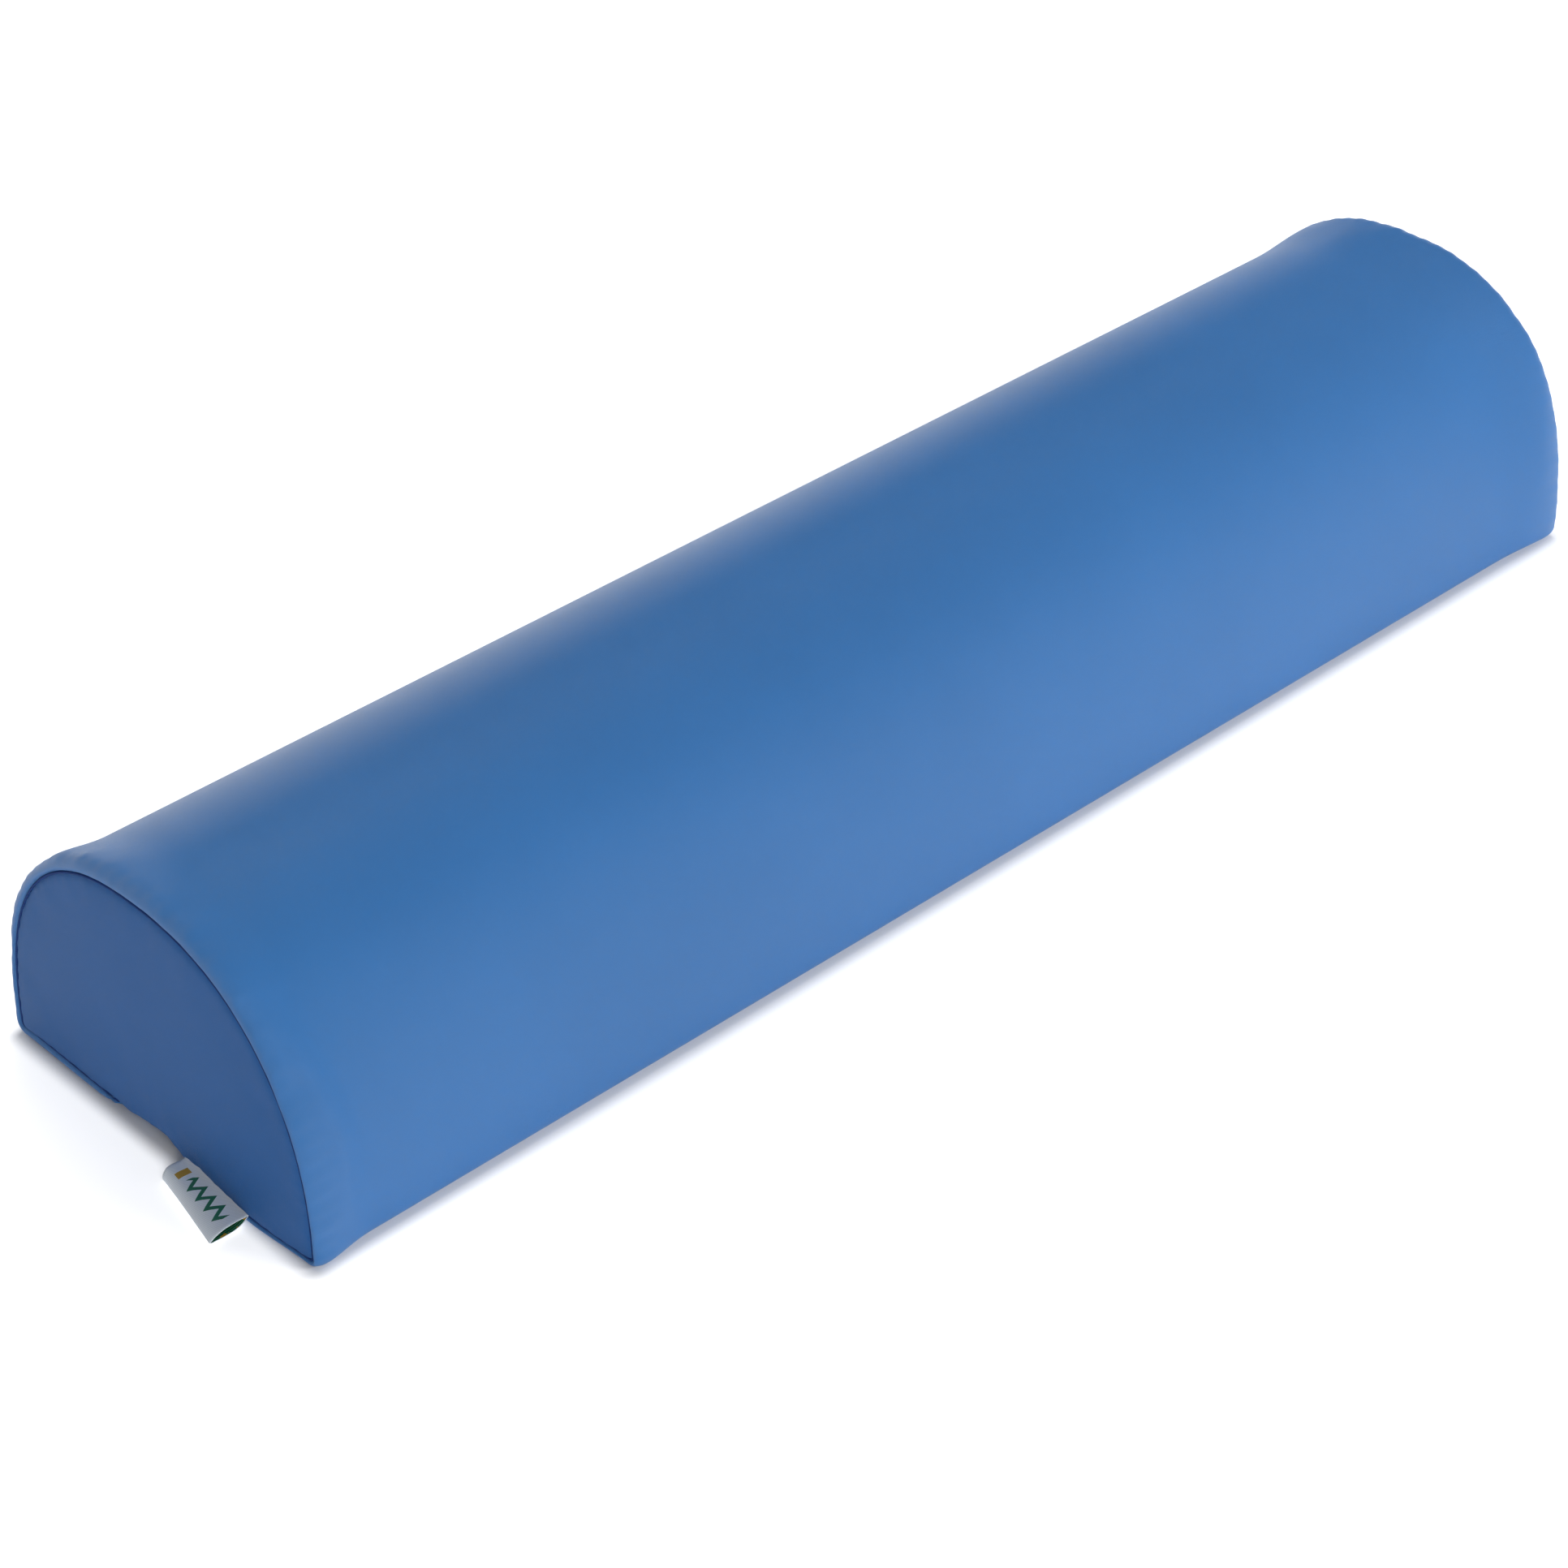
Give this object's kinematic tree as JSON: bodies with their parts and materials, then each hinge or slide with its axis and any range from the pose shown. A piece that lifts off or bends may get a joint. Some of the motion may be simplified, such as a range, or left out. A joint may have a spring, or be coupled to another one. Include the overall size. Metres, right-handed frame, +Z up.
{
  "type": "half-round positioning bolster",
  "caption": "Half-round padded bolster: foam core in a zipped blue leatherette cover with D-shaped end panels and a small woven seam label.",
  "frame": {"origin": "centre of the flat underside, on the floor plane, midway between the two end rims", "axes": "+X along the bolster from the labelled front end to the rear end, +Y across it to the left, +Z up from the underside to the crown"},
  "size_m": [0.6131, 0.1598, 0.0999],
  "materials": {
    "leatherette": "satin",
    "end_leatherette": "satin",
    "foam": "matte",
    "thread": "matte",
    "label_satin": "satin",
    "zip_tape": "matte",
    "zip_coil": "satin",
    "slider_metal": "satin"
  },
  "bodies": {
    "cover": {"foam_core": "foam", "wrap_panel": "leatherette", "front_end_panel": "end_leatherette", "rear_end_panel": "end_leatherette", "front_seam_thread": "thread", "rear_seam_thread": "thread", "woven_label": "label_satin", "zip_tape_left": "zip_tape", "zip_tape_right": "zip_tape", "zip_coil_left": "zip_coil", "zip_coil_right": "zip_coil", "zip_stitching_left": "thread", "zip_stitching_right": "thread"},
    "slider": {"zip_slider": "slider_metal"},
    "pull": {"zip_pull_tab": "slider_metal"}
  },
  "joints": [
    {"name": "slider_travel", "type": "slide", "parent": "cover", "child": "slider", "axis": [-1, 0, 0], "range_m": [0, 0.54]},
    {"name": "pull_tab_swing", "type": "hinge", "parent": "slider", "child": "pull", "pos_m": [0.2823, 0, 0.00315], "axis": [0, -1, 0], "range_deg": [-4, 158]}
  ]
}
